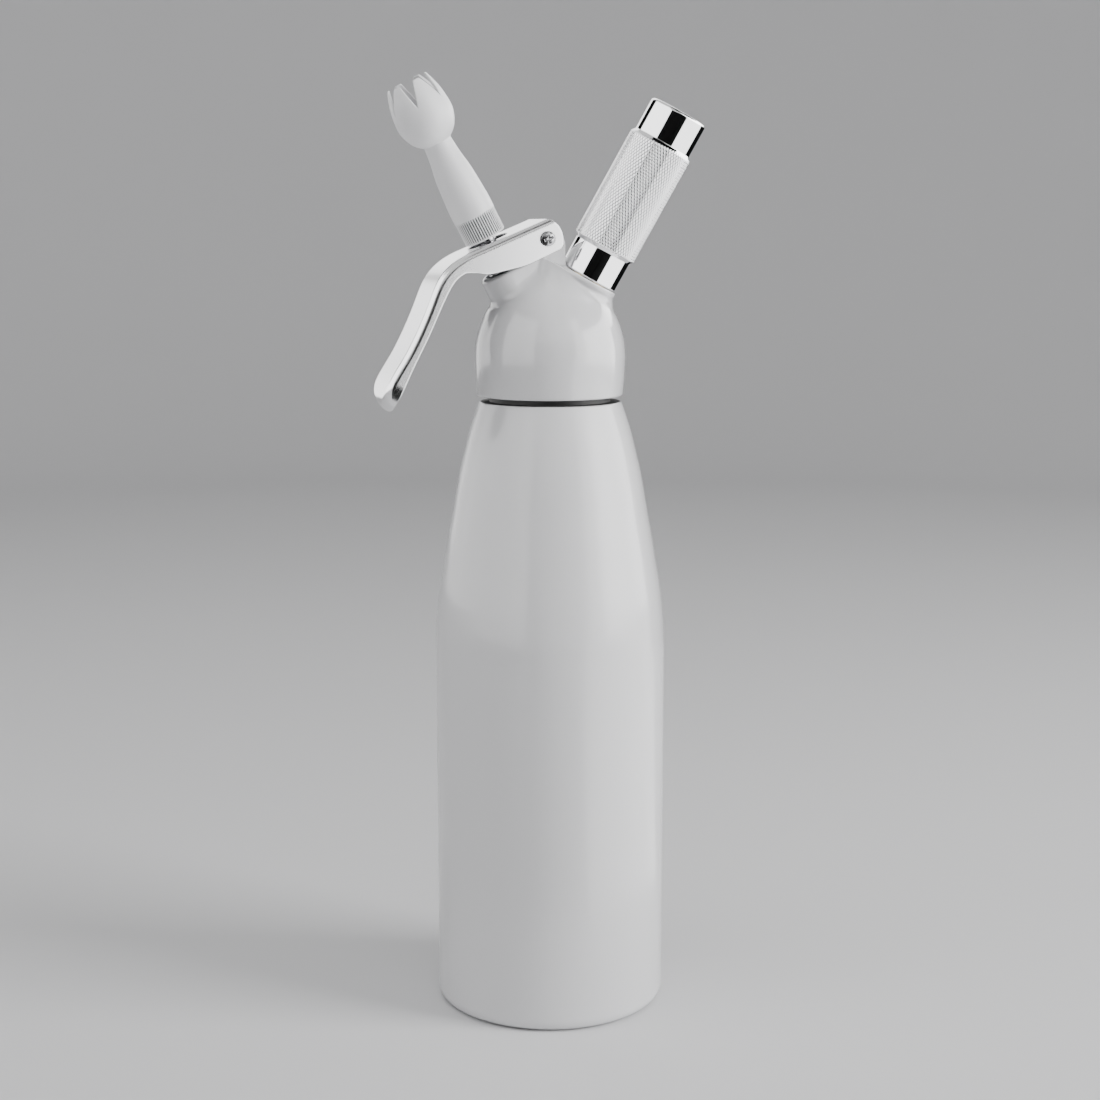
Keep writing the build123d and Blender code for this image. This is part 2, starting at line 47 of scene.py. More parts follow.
# ---------------------------------------------------------------- dimensions (mm)
SPOUT_TILT, SPOUT_O = math.radians(28.3), np.array([-19.1, 0.0, 283.85])
PIVOT = (-5.0, 295.3)
HOLD_TILT, HOLD_TURN = math.radians(29.06), math.radians(-25.0)
HOLD_OUT, HOLD_Z = 14.1, 280.91
N0 = 13.8                                  # nozzle's collar, along the spout axis

SN, CS = math.sin(SPOUT_TILT), math.cos(SPOUT_TILT)
SPOUT_X = np.array([CS, 0.0, SN])
SPOUT_N = np.array([-SN, 0.0, CS])
CA, SA = math.cos(HOLD_TURN), math.sin(HOLD_TURN)
HS, HC = math.sin(HOLD_TILT), math.cos(HOLD_TILT)
HOLD_O = np.array([HOLD_OUT * CA, HOLD_OUT * SA, HOLD_Z])
HOLD_X = np.array([HC * CA, HC * SA, -HS])
HOLD_N = np.array([HS * CA, HS * SA, HC])
HOLD_Y = np.cross(HOLD_N, HOLD_X)
Y_AXIS = np.array([0.0, 1.0, 0.0])
Z_AXIS = np.array([0.0, 0.0, 1.0])
X_AXIS = np.array([1.0, 0.0, 0.0])


# ---------------------------------------------------------------- shape helpers
def rmin(a, b, r):
    """Union with a round fillet of radius r."""
    return np.maximum(r, np.minimum(a, b)) - np.hypot(np.maximum(r - a, 0), np.maximum(r - b, 0))


def rmax(a, b, r):
    """Intersection with a round edge of radius r."""
    return np.minimum(-r, np.maximum(a, b)) + np.hypot(np.maximum(r + a, 0), np.maximum(r + b, 0))


def smooth(e0, e1, x):
    t = np.clip((x - e0) / (e1 - e0), 0, 1)
    return t * t * (3 - 2 * t)


def spline(pts, n, t0=None, t1=None):
    """Cubic curve through 2-D points, with end directions if given."""
    p = np.array(pts, float)
    d = np.hypot(*np.diff(p, axis=0).T)
    t = np.concatenate([[0], np.cumsum(d)])
    m = len(p)
    a = np.zeros((m, m))
    b = np.zeros((m, 2))
    for i in range(1, m - 1):
        h0, h1 = d[i - 1], d[i]
        a[i, i - 1], a[i, i], a[i, i + 1] = h1, 2 * (h0 + h1), h0
        b[i] = 3 * (h1 * (p[i] - p[i - 1]) / h0 + h0 * (p[i + 1] - p[i]) / h1)
    for i, tan, j, h in ((0, t0, 1, d[0]), (m - 1, t1, m - 2, d[-1])):
        if tan is None:
            a[i, i], a[i, j] = 2, 1
            b[i] = 3 * (p[max(i, j)] - p[min(i, j)]) / h
        else:
            a[i, i] = 1
            b[i] = np.array(tan, float) / math.hypot(*tan)
    k = np.linalg.solve(a, b)
    s = np.linspace(0, t[-1], n)
    i = np.clip(np.searchsorted(t, s, side="right") - 1, 0, m - 2)
    h = d[i][:, None]
    u = ((s - t[i]) / d[i])[:, None]
    return ((2 * u**3 - 3 * u**2 + 1) * p[i] + (u**3 - 2 * u**2 + u) * h * k[i]
            + (-2 * u**3 + 3 * u**2) * p[i + 1] + (u**3 - u**2) * h * k[i + 1])


def rounded(pts, k=5):
    """(r, z) or (r, z, fillet) corners to a line with round corners; arrays of points pass through."""
    flat = []
    for p in pts:
        if isinstance(p, np.ndarray) and p.ndim == 2:
            flat += [(q[0], q[1], 0.0) for q in p]
        else:
            flat.append((p[0], p[1], p[2] if len(p) > 2 else 0.0))
    out = []
    for i, (x, z, r) in enumerate(flat):
        if r <= 0 or i in (0, len(flat) - 1):
            out.append((x, z))
            continue
        c = np.array([x, z])
        a = np.array(flat[i - 1][:2]) - c
        b = np.array(flat[i + 1][:2]) - c
        la, lb = np.hypot(*a), np.hypot(*b)
        a, b = a / la, b / lb
        cosang = float(np.clip(a @ b, -1, 1))
        half = math.acos(cosang) / 2
        if half > math.pi / 2 - 1e-3:
            out.append((x, z))
            continue
        t = min(r / math.tan(half), 0.48 * la, 0.48 * lb)
        rr = t * math.tan(half)
        mid = (a + b) / np.hypot(*(a + b))
        o = c + mid * rr / math.sin(half)
        p0, p1 = c + a * t - o, c + b * t - o
        a0 = math.atan2(p0[1], p0[0])
        da = (math.atan2(p1[1], p1[0]) - a0 + math.pi) % (2 * math.pi) - math.pi
        for j in range(k + 1):
            q = a0 + da * j / k
            out.append((o[0] + rr * math.cos(q), o[1] + rr * math.sin(q)))
    keep = [out[0]]
    for p in out[1:]:
        if math.hypot(p[0] - keep[-1][0], p[1] - keep[-1][1]) > 1e-4:
            keep.append(p)
    return np.array(keep)


def resample(pts, step):
    """Add points on straight runs longer than step."""
    out = [pts[0]]
    for a, b in zip(pts[:-1], pts[1:]):
        n = max(1, int(math.ceil(np.hypot(*(b - a)) / step)))
        out += [a + (b - a) * (j + 1) / n for j in range(n)]
    return np.array(out)


def make_mesh(name, co, faces, normals=None):
    me = bpy.data.meshes.new(name)
    n, m, k = len(co), len(faces), faces.shape[1]
    me.vertices.add(n)
    me.vertices.foreach_set("co", (np.asarray(co) * MM).astype(np.float32).ravel())
    me.loops.add(m * k)
    me.loops.foreach_set("vertex_index", faces.astype(np.int32).ravel())
    me.polygons.add(m)
    me.polygons.foreach_set("loop_start", np.arange(0, m * k, k, dtype=np.int32))
    me.polygons.foreach_set("use_smooth", np.ones(m, bool))
    me.update(calc_edges=True)
    if normals is not None:
        me.normals_split_custom_set_from_vertices(normals.astype(np.float32))
    obj = bpy.data.objects.new(name, me)
    bpy.context.scene.collection.objects.link(obj)
    return obj


def lathe(name, prof, n, origin, xd, zd, disp=None, closed=False):
    """Turned shape from (radius, height) points, outside going up; disp(angle, r, z) moves a point out."""
    prof = np.asarray(prof, float)
    yd = np.cross(zd, xd)
    th = np.arange(n) * 2 * math.pi / n
    r = prof[:, 0][:, None] + np.zeros(n)
    z = prof[:, 1][:, None] + np.zeros(n)
    if disp is not None:
        r = r + disp(th[None, :], r, z)
    r = np.maximum(r, 0)
    loc = np.stack([r * np.cos(th), r * np.sin(th), z], -1)
    if closed:
        ds = np.roll(loc, -1, 0) - np.roll(loc, 1, 0)
    else:
        ds = np.concatenate([loc[1:2] - loc[:1], loc[2:] - loc[:-2], loc[-1:] - loc[-2:-1]])
    dt = np.roll(loc, -1, 1) - np.roll(loc, 1, 1)
    flat = r < 1e-6
    dt[flat] = np.broadcast_to(np.stack([-np.sin(th), np.cos(th), 0 * th], -1)[None], dt.shape)[flat]
    nr = np.cross(dt, ds)
    nr /= np.maximum(np.linalg.norm(nr, axis=-1, keepdims=True), 1e-12)
    m = len(prof)
    basis = np.stack([xd, yd, zd])
    co = loc @ basis + origin
    nr = nr @ basis
    poles = [i for i in (0, m - 1) if prof[i, 0] < 1e-6 and not closed]
    rows = [i for i in range(m) if i not in poles]
    first, last = rows[0], rows[-1]
    vid = np.full((m, n), -1)
    cnt = 0
    for i in rows:
        vid[i] = cnt + np.arange(n)
        cnt += n
    pts = [co[rows].reshape(-1, 3)]
    nrm = [nr[rows].reshape(-1, 3)]
    quads = []
    nxt = np.roll(np.arange(n), -1)
    pairs = [(i, i + 1) for i in range(first, last)] + ([(m - 1, 0)] if closed else [])
    for a, b in pairs:
        quads.append(np.stack([vid[a], vid[a][nxt], vid[b][nxt], vid[b]], 1))
    for i in poles:
        pts.append(co[i, :1])
        sgn = -1.0 if i == 0 else 1.0
        nrm.append((zd * sgn)[None])
        ring = vid[first] if i == 0 else vid[last]
        c = np.full(n, cnt)
        cnt += 1
        # a fan of narrow quads keeps one face size for the whole mesh
        if n % 2:
            raise ValueError("even segment count")
        a, b, d = ring[0::2], ring[1::2], np.roll(ring, -2)[0::2]
        quads.append(np.stack([c[: n // 2], d, b, a] if i == 0 else [c[: n // 2], a, b, d], 1))
    co = np.concatenate(pts)
    nr = np.concatenate(nrm)
    q = np.concatenate(quads)
    # outside test on one face: flip all if the profile ran the other way
    e1 = co[q[:, 1]] - co[q[:, 0]]
    e2 = co[q[:, 2]] - co[q[:, 0]]
    fn = np.cross(e1, e2)
    if np.sum(fn * nr[q[:, 0]]) < 0:
        nr = -nr
    vol = np.sum(np.cross(co[q[:, 0]] - origin, co[q[:, 1]] - origin) * (co[q[:, 2]] - origin)) + \
        np.sum(np.cross(co[q[:, 0]] - origin, co[q[:, 2]] - origin) * (co[q[:, 3]] - origin))
    if vol < 0:
        q = q[:, ::-1]
        nr = -nr
    return make_mesh(name, co, q, nr)


EDGES = [((0, 0, 0), (1, 0, 0)), ((0, 1, 0), (1, 1, 0)), ((0, 0, 1), (1, 0, 1)), ((0, 1, 1), (1, 1, 1)),
         ((0, 0, 0), (0, 1, 0)), ((1, 0, 0), (1, 1, 0)), ((0, 0, 1), (0, 1, 1)), ((1, 0, 1), (1, 1, 1)),
         ((0, 0, 0), (0, 0, 1)), ((1, 0, 0), (1, 0, 1)), ((0, 1, 0), (0, 1, 1)), ((1, 1, 0), (1, 1, 1))]


def nets(name, fn, lo, hi, h, steps=4, eps=0.03, place=None):
    """Quad mesh of the zero surface of fn(x, y, z), a signed distance in mm.
    place turns local points and normals into the object's frame."""
    lo = np.array(lo, float) - 1.5 * h
    n = (np.ceil((np.array(hi, float) - lo) / h) + 2).astype(int)
    ax = [lo[i] + h * np.arange(n[i]) for i in range(3)]
    v = np.empty(n, np.float32)
    for i in range(0, n[0], 24):
        v[i:i + 24] = fn(ax[0][i:i + 24, None, None], ax[1][None, :, None], ax[2][None, None, :])
    s = v < 0
    c = sum(s[i:n[0] - 1 + i, j:n[1] - 1 + j, k:n[2] - 1 + k].astype(np.int8)
            for i in (0, 1) for j in (0, 1) for k in (0, 1))
    mixed = (c > 0) & (c < 8)
    ci = np.argwhere(mixed)
    idx = np.full(mixed.shape, -1, np.int64)
    idx[mixed] = np.arange(len(ci))
    acc = np.zeros((len(ci), 3))
    cnt = np.zeros(len(ci))
    for a, b in EDGES:
        pa, pb = ci + a, ci + b
        va = v[pa[:, 0], pa[:, 1], pa[:, 2]].astype(float)
        vb = v[pb[:, 0], pb[:, 1], pb[:, 2]].astype(float)
        x = (va < 0) != (vb < 0)
        t = np.where(x, va / np.where(x, va - vb, 1), 0)
        acc += np.where(x[:, None], np.array(a) + t[:, None] * (np.array(b) - np.array(a)), 0)
        cnt += x
    p = lo + (ci + acc / cnt[:, None]) * h
    quads = []
    for d in range(3):
        o1, o2 = (d + 1) % 3, (d + 2) % 3
        sa = np.take(s, range(0, n[d] - 1), axis=d)
        sb = np.take(s, range(1, n[d]), axis=d)
        e = np.argwhere(sa != sb)
        ok = (e[:, o1] >= 1) & (e[:, o2] >= 1) & (e[:, o1] < n[o1] - 1) & (e[:, o2] < n[o2] - 1)
        e = e[ok]
        u1, u2 = np.eye(3, dtype=int)[o1], np.eye(3, dtype=int)[o2]

        def cell(i, j):
            q = e - i * u1 - j * u2
            return idx[q[:, 0], q[:, 1], q[:, 2]]

        q = np.stack([cell(1, 1), cell(0, 1), cell(0, 0), cell(1, 0)], 1)
        ins = sa[e[:, 0], e[:, 1], e[:, 2]]
        q[~ins] = q[~ins][:, ::-1]
        quads.append(q)
    q = np.concatenate(quads)

    def grad(p):
        g = np.empty_like(p)
        for i in range(3):
            a, b = p.copy(), p.copy()
            a[:, i] += eps
            b[:, i] -= eps
            g[:, i] = (fn(*a.T) - fn(*b.T)) / (2 * eps)
        return g

    start = p.copy()
    for _ in range(steps):
        g = grad(p)
        f = fn(*p.T)
        step = (f / np.maximum((g * g).sum(1), 0.1))[:, None] * g
        ln = np.linalg.norm(step, axis=1, keepdims=True)
        p = p - step * np.minimum(1, 0.5 * h / np.maximum(ln, 1e-9))
    off = np.linalg.norm(p - start, axis=1) > 1.2 * h
    p[off] = start[off]
    g = grad(p)
    g /= np.maximum(np.linalg.norm(g, axis=1, keepdims=True), 1e-9)
    if place is not None:
        o, basis = place
        p, g = p @ basis + o, g @ basis
    return make_mesh(name, p, q, g)


class Outline:
    """Signed distance to a closed 2-D outline, kept on a grid and read back with cubic interpolation."""

    def __init__(self, poly, h=0.25, pad=5.0):
        poly = np.asarray(poly, float)
        self.h = h
        self.lo = poly.min(0) - pad
        n = (np.ceil((poly.max(0) + pad - self.lo) / h) + 3).astype(int)
        gx = self.lo[0] + h * np.arange(n[0])[:, None]
        gz = self.lo[1] + h * np.arange(n[1])[None, :]
        best = np.full(tuple(n), 1e9)
        inside = np.zeros(tuple(n), bool)
        nxt = np.roll(poly, -1, 0)
        for (ax, az), (bx, bz) in zip(poly, nxt):
            dx, dz = bx - ax, bz - az
            l2 = dx * dx + dz * dz
            if l2 < 1e-12:
                continue
            t = np.clip(((gx - ax) * dx + (gz - az) * dz) / l2, 0, 1)
            best = np.minimum(best, (gx - ax - t * dx) ** 2 + (gz - az - t * dz) ** 2)
            if az != bz:
                inside ^= ((az > gz) != (bz > gz)) & (gx < dx * (gz - az) / dz + ax)
        self.v = np.where(inside, -np.sqrt(best), np.sqrt(best))
        self.n = n

    def __call__(self, x, z):
        x, z = np.broadcast_arrays(x, z)
        fx = np.clip((x - self.lo[0]) / self.h, 1, self.n[0] - 3.001)
        fz = np.clip((z - self.lo[1]) / self.h, 1, self.n[1] - 3.001)
        i, j = fx.astype(int), fz.astype(int)
        u, w = fx - i, fz - j

        def wt(t):
            return (((-t + 2) * t - 1) * t / 2, ((3 * t - 5) * t * t + 2) / 2,
                    ((-3 * t + 4) * t + 1) * t / 2, ((t - 1) * t * t) / 2)

        wu, ww = wt(u), wt(w)
        out = 0
        for a in range(4):
            row = 0
            for b in range(4):
                row = row + ww[b] * self.v[i + a - 1, j + b - 1]
            out = out + wu[a] * row
        return out


# ---------------------------------------------------------------- materials
def material(name, color, rough, metallic=0.0, bump=0.0, scale=300.0, var=0.02, rvar=0.03,
             coat=0.0, coat_rough=0.08, aniso=0.0, ior=1.5, stretch=(1, 1, 1)):
    m = bpy.data.materials.new(name)
    m.use_nodes = True
    nt = m.node_tree
    b = nt.nodes["Principled BSDF"]
    b.inputs["Metallic"].default_value = metallic
    b.inputs["IOR"].default_value = ior
    b.inputs["Coat Weight"].default_value = coat
    b.inputs["Coat Roughness"].default_value = coat_rough
    b.inputs["Anisotropic"].default_value = aniso
    tc = nt.nodes.new("ShaderNodeTexCoord")
    mp = nt.nodes.new("ShaderNodeMapping")
    mp.inputs["Scale"].default_value = stretch
    nt.links.new(tc.outputs["Object"], mp.inputs["Vector"])
    no = nt.nodes.new("ShaderNodeTexNoise")
    no.inputs["Scale"].default_value = scale
    no.inputs["Detail"].default_value = 3.0
    nt.links.new(mp.outputs["Vector"], no.inputs["Vector"])
    ramp = nt.nodes.new("ShaderNodeValToRGB")
    lo = [max(0, c * (1 - var)) for c in color]
    hi = [min(1, c * (1 + var)) for c in color]
    ramp.color_ramp.elements[0].position = 0.3
    ramp.color_ramp.elements[1].position = 0.7
    ramp.color_ramp.elements[0].color = (*lo, 1)
    ramp.color_ramp.elements[1].color = (*hi, 1)
    nt.links.new(no.outputs["Fac"], ramp.inputs["Fac"])
    nt.links.new(ramp.outputs["Color"], b.inputs["Base Color"])
    mr = nt.nodes.new("ShaderNodeMapRange")
    mr.inputs["From Min"].default_value = 0.3
    mr.inputs["From Max"].default_value = 0.7
    mr.inputs["To Min"].default_value = max(0.0, rough - rvar)
    mr.inputs["To Max"].default_value = rough + rvar
    nt.links.new(no.outputs["Fac"], mr.inputs["Value"])
    nt.links.new(mr.outputs["Result"], b.inputs["Roughness"])
    if bump > 0:
        bp = nt.nodes.new("ShaderNodeBump")
        bp.inputs["Strength"].default_value = 1.0
        bp.inputs["Distance"].default_value = bump * MM
        nt.links.new(no.outputs["Fac"], bp.inputs["Height"])
        nt.links.new(bp.outputs["Normal"], b.inputs["Normal"])
    return m


PAINT = material("bottle_paint", (0.74, 0.74, 0.75), 0.24, bump=0.0003, scale=500, var=0.004, rvar=0.01, coat=0.3, coat_rough=0.12)
HEAD_PAINT = material("head_paint", (0.74, 0.74, 0.75), 0.16, bump=0.0010, scale=500, var=0.008, rvar=0.02, coat=0.5, coat_rough=0.07)
LEVER_METAL = material("lever_metal", (0.90, 0.90, 0.91), 0.2, metallic=1.0, bump=0.0003, scale=900, var=0.01, rvar=0.008)
NOZZLE_PLASTIC = material("nozzle_plastic", (0.87, 0.87, 0.88), 0.38, bump=0.002, scale=1500, var=0.01)
# dark grey for the bottoms of the collar's grooves: painted shade
GROOVE_SHADE = material("nozzle_groove_painted_shade", (0.22, 0.22, 0.23), 0.5, bump=0.002, scale=1500, var=0.01)
CHROME = material("holder_chrome", (0.93, 0.93, 0.94), 0.045, metallic=1.0, scale=700, var=0.01, rvar=0.015)
# darker chrome for the knurl's grooves: painted shade
KNURL_SHADE = material("knurl_grooves_painted_shade", (0.34, 0.34, 0.35), 0.3, metallic=1.0, scale=700, var=0.02)
STEEL = material("valve_steel", (0.72, 0.72, 0.73), 0.22, metallic=1.0, scale=900, rvar=0.05)
STEM_STEEL = material("stem_steel", (0.38, 0.38, 0.39), 0.12, metallic=1.0, scale=900, rvar=0.04)
SCREW = material("screw_steel", (0.36, 0.36, 0.37), 0.22, metallic=1.0, scale=900, rvar=0.05)
BRASS = material("brass_fittings", (0.78, 0.62, 0.32), 0.24, metallic=1.0, scale=900, rvar=0.05)
BARE = material("bare_aluminium", (0.40, 0.40, 0.41), 0.38, metallic=1.0, scale=900, rvar=0.05)
BLACK_RUBBER = material("black_rubber", (0.03, 0.03, 0.03), 0.55, bump=0.004, scale=1500)
GREY_RUBBER = material("grey_rubber", (0.45, 0.46, 0.47), 0.5, bump=0.004, scale=1500)
CHARGER_STEEL = material("charger_steel", (0.62, 0.62, 0.63), 0.26, metallic=1.0, scale=700, rvar=0.05)

CAD_FINISH = {
    "head_gasket": GREY_RUBBER, "stem_bush": BRASS, "bush_oring": BLACK_RUBBER,
    "pivot_barrel": SCREW, "pivot_washers": GREY_RUBBER, "inlet_body": BRASS,
    "inlet_oring": BLACK_RUBBER, "piercing_pin": STEEL, "charger_seal": GREY_RUBBER, "check_valve": BLACK_RUBBER,
    "valve_stem": STEM_STEEL, "stem_pusher": STEM_STEEL, "stem_circlip": STEEL, "stem_oring": BLACK_RUBBER,
    "valve_seal": BLACK_RUBBER, "seal_washer": STEEL, "seal_nut": STEEL, "nozzle_seal": GREY_RUBBER,
    "charger": CHARGER_STEEL,
}
for node, mat in CAD_FINISH.items():
    me = NODES[node].data
    me.materials.clear()
    me.materials.append(mat)


def finish_piece(obj, mat, body, slot, *nodes):
    obj.data.materials.append(mat)
    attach(obj, body)
    if nodes:
        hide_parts(*nodes)
    return obj


# ---------------------------------------------------------------- bottle
SHOULDER = [(43.99, 145.5), (43.44, 153.7), (42.54, 161.6), (41.24, 169.5), (39.94, 177.3), (38.64, 185.0),
            (37.14, 192.8), (35.85, 200.5), (34.4, 208.2), (32.6, 215.9), (30.65, 223.5), (28.65, 229.8), (27.45, 233.1)]
sh = spline(SHOULDER, 90, (0, 1), (-0.36, 1))
tan = np.gradient(sh, axis=0)
tan /= np.hypot(*tan.T)[:, None]
inner = (sh - 1.5 * np.stack([tan[:, 1], -tan[:, 0]], 1))[:-3]
prof = rounded([(0.0, 0.0), (12.0, 0.0, 0.6), (14.5, 1.6, 0.8), (30.5, 1.6, 0.8), (33.0, 0.0, 0.6), (43.99, 0.0, 4.5),
                (43.99, 30.0), (43.99, 90.0), (43.99, 130.0), sh, (26.95, 234.6, 0.7), (22.9, 234.6, 0.3),
                (22.9, 249.0, 0.5), (21.3, 249.0, 0.3), (21.3, 233.9, 0.5), (25.1, 232.6, 0.6),
                inner[::-1], (42.5, 130.0), (42.5, 2.5, 3.5), (34.0, 2.5), (31.5, 3.7), (0.0, 3.7)], 8)
prof = resample(prof, 0.45)


def neck_thread(th, r, z):
    """Two and a half turns of a round thread on the outside of the neck."""
    ph = np.mod((z - 237.9) / 4.0 - th / (2 * math.pi), 1.0)
    w = np.clip(1 - np.abs(ph - 0.5) / 0.26, 0, 1)
    w = w * w * (3 - 2 * w)
    env = smooth(236.8, 238.2, z) * (1 - smooth(246.4, 247.8, z))
    return 0.7 * w * env * ((r > 22.5) & (r < 23.5) & (z > 236.2))


bottle = lathe("bottle_shell", prof, 256, np.zeros(3), X_AXIS, Z_AXIS, neck_thread)
finish_piece(bottle, PAINT, "bottle", "bottle_paint", "bottle")


def bare_inside(obj, test, mat):
    """Faces whose centre passes the test are unpainted metal."""
    me = obj.data
    me.materials.append(mat)
    c = np.empty(len(me.polygons) * 3, np.float32)
    me.polygons.foreach_get("center", c)
    c = c.reshape(-1, 3) / MM
    me.polygons.foreach_set("material_index", test(np.hypot(c[:, 0], c[:, 1]), c[:, 2]).astype(np.int32))


bare_inside(bottle, lambda r, z: ((z > 234.55) & (r < 26.3)) | ((r < 42.8) & (z > 2.4) & (z < 145)) |
            ((z >= 145) & (r < np.interp(z, [q[1] for q in SHOULDER], [q[0] for q in SHOULDER]) - 1.0)), BARE)
# the rim's top and the neck just under the head's skirt get black rubber: painted shade for the dark gap between head
# and bottle
gap_shade_centres = np.empty(len(bottle.data.polygons) * 3, np.float32)
bottle.data.polygons.foreach_get("center", gap_shade_centres)
gap_shade_centres = gap_shade_centres.reshape(-1, 3) / MM
ring = (gap_shade_centres[:, 2] > 234.3) & (gap_shade_centres[:, 2] < 237.3) & (np.hypot(gap_shade_centres[:, 0], gap_shade_centres[:, 1]) < 26.45) & (np.hypot(gap_shade_centres[:, 0], gap_shade_centres[:, 1]) > 22.3)
index = np.empty(len(ring), np.int32)
bottle.data.polygons.foreach_get("material_index", index)
bottle.data.materials.append(BLACK_RUBBER)
bottle.data.polygons.foreach_set("material_index", np.where(ring, 2, index).astype(np.int32))

# ---------------------------------------------------------------- head casting
BACK = 2.6
LUG_R = 5.15
HALF = 10.8                                # half the lever's width
px, pz = PIVOT
lug_line = Outline([(-10.0, 272.0), (BACK, 272.0), (BACK, 294.0), (px + LUG_R * 0.75, pz + LUG_R * 0.66), (px, pz),
                    (px - LUG_R * CS, pz - LUG_R * SN), (px - LUG_R * CS + 6 * SN, pz - LUG_R * SN - 6 * CS)], 0.2)


def spout_local(x, z):
    return (x - SPOUT_O[0]) * CS + (z - SPOUT_O[2]) * SN, -(x - SPOUT_O[0]) * SN + (z - SPOUT_O[2]) * CS


def hold_local(x, y, z):
    dx, dy, dz = x - HOLD_O[0], y - HOLD_O[1], z - HOLD_O[2]
    return [dx * a[0] + dy * a[1] + dz * a[2] for a in (HOLD_X, HOLD_Y, HOLD_N)]


def head_shape(x, y, z):
    r = np.hypot(x, y)
    zz = z - 251.5
    k0 = np.sqrt(r * r / 28.56**2 + zz * zz / 31.5**2)
    k1 = np.sqrt(r * r / 28.56**4 + zz * zz / 31.5**4)
    dome = k0 * (k0 - 1) / np.maximum(k1, 1e-6)
    skirt = r - (28.56 - 0.01141 * np.maximum(-zz, 0) ** 1.6)
    body = rmax(np.where(zz > 0, dome, skirt), 236.8 - z, 0.9)
    # spout boss, running back to the lug
    bx, bs = spout_local(x, z)
    tongue = np.hypot(bx - np.clip(bx, 0, 22), y) - 9.0
    boss = rmax(rmax(tongue, bs, 1.6), x - BACK, 0.7)
    lug = rmax(np.minimum(lug_line(x, z), np.hypot(x - px, z - pz) - LUG_R), np.abs(y) - 9.0, 0.7)
    top = rmin(boss, lug, 1.2)
    # flange for the charger holder on an upright neck
    hu, hv, hw = hold_local(x, y, z)
    under = 11.75 + 0.35 * smooth(268.0, 276.0, z)
    pillar = np.hypot(x - 11.6 * CA, y - 11.6 * SA) - under
    neck = rmax(pillar, hw + 0.95, 0.4)
    lip = rmax(np.hypot(hu, hv) - 12.3, np.abs(hw + 0.95) - 0.95, 0.75)
    # the fillets onto the dome are tight at the two ends and wide in between
    c1 = -x / np.maximum(r, 1e-6)
    c2 = (x * CA + y * SA) / np.maximum(r, 1e-6)
    r1 = 2.2 + 6.0 * smooth(0.08, 0.7, 1 - c1)
    r2 = 1.2 + 5.2 * smooth(0.06, 0.7, 1 - c2)
    w = smooth(-4.0, 4.0, top - neck)
    both = np.minimum(top, rmax(rmin(top, pillar, 6.0), hw + 0.95, 0.4))
    both = np.maximum(rmin(both, lip, 1.0), 255.0 - z)
    d = rmin(body, both, r1 + (r2 - r1) * w)
    # inside
    ph = np.mod((z - 238.6) / 4.0 - np.arctan2(y, x) / (2 * math.pi), 1.0)
    gro = 0.7 * np.clip(1 - np.abs(ph - 0.5) / 0.3, 0, 1) * smooth(237.2, 238.4, z) * (1 - smooth(248.5, 249.7, z))
    bore = np.maximum(r - 24.0 - gro, z - 252.0)
    k0 = np.sqrt(r * r / 19.0**2 + (z - 252) ** 2 / 12.5**2)
    k1 = np.sqrt(r * r / 19.0**4 + (z - 252) ** 2 / 12.5**4)
    cav = np.maximum(np.where(z > 252, k0 * (k0 - 1) / np.maximum(k1, 1e-6), r - 19.0), 246.0 - z)
    d = rmax(d, -bore, 0.5)
    d = rmax(d, -cav, 0.3)
    rs = np.hypot(bx, y)
    hole = np.minimum(np.maximum(rs - 6.5, -7.6 - bs), np.maximum(rs - 5.6, -19.0 - bs))
    hole = np.minimum(hole, np.maximum(np.maximum(rs - 7.0, bs + 18.0), -40 - bs))
    hole = np.maximum(hole, bs - 1.5)
    d = rmax(d, -hole, 0.3)
    rh = np.hypot(hu, hv)
    port = np.minimum(np.maximum(rh - 5.5, -40 - hw), np.maximum(rh - 8.3, -1.5 - hw))
    port = np.maximum(port, hw - 1.5)
    d = rmax(d, -port, 0.3)
    # room for the holder's lower end beside the dome
    d = rmax(d, -np.maximum(rh - 11.35, 0.1 - hw), 0.1)
    return rmax(d, -(np.hypot(x - px, z - pz) - 2.62), 0.25)


head = nets("head_shell", head_shape, (-28.7, -28.7, 236.7), (28.7, 28.7, 300.6), 0.45)
finish_piece(head, HEAD_PAINT, "head", "head_paint", "head_casting")
bare_inside(head, lambda r, z: (z < 265) & (r < np.where(z < 252, 25.6, 20.0)) & (z > 236.0), BARE)

# ---------------------------------------------------------------- lever
LEVER_OUTER = [(-33.6, 290.9), (-39.0, 288.2), (-43.7, 284.5), (-47.3, 279.6), (-50.2, 273.0), (-54.2, 263.9),
               (-60.6, 252.1), (-65.3, 244.6), (-67.08, 239.8), (-66.8, 235.6), (-64.6, 232.3)]
REAR = (-4.6, 302.7)
LOWER = [(-63.2, 234.7), (-59.8, 242.8), (-55.3, 251.8), (-50.2, 261.6), (-46.6, 269.3), (-43.4, 275.7),
         (-40.4, 280.2), (-36.6, 282.9)]
pdir = np.array([LEVER_OUTER[0][0] - REAR[0], LEVER_OUTER[0][1] - REAR[1]])
pdir = pdir / np.hypot(*pdir)
outer_line = spline(LEVER_OUTER, 420, pdir, (0.86, -0.5))
end = outer_line[-1]
far = np.array(REAR) - pdir * 12
A_line = np.concatenate([[far], [np.array(REAR)], outer_line, [end + (6, -3.5)], [(-40, 215.0)], [(20, 215.0)]])
lever_top = Outline(resample(A_line, 1.0), 0.25, 6)
# the outline of the cheeks and flanges, let out past the bends
nrm = np.gradient(outer_line, axis=0)
nrm = np.stack([nrm[:, 1], -nrm[:, 0]], 1) / np.hypot(*nrm.T)[:, None]
if nrm[0, 1] < 0:
    nrm = -nrm
out2 = outer_line + 1.6 * nrm


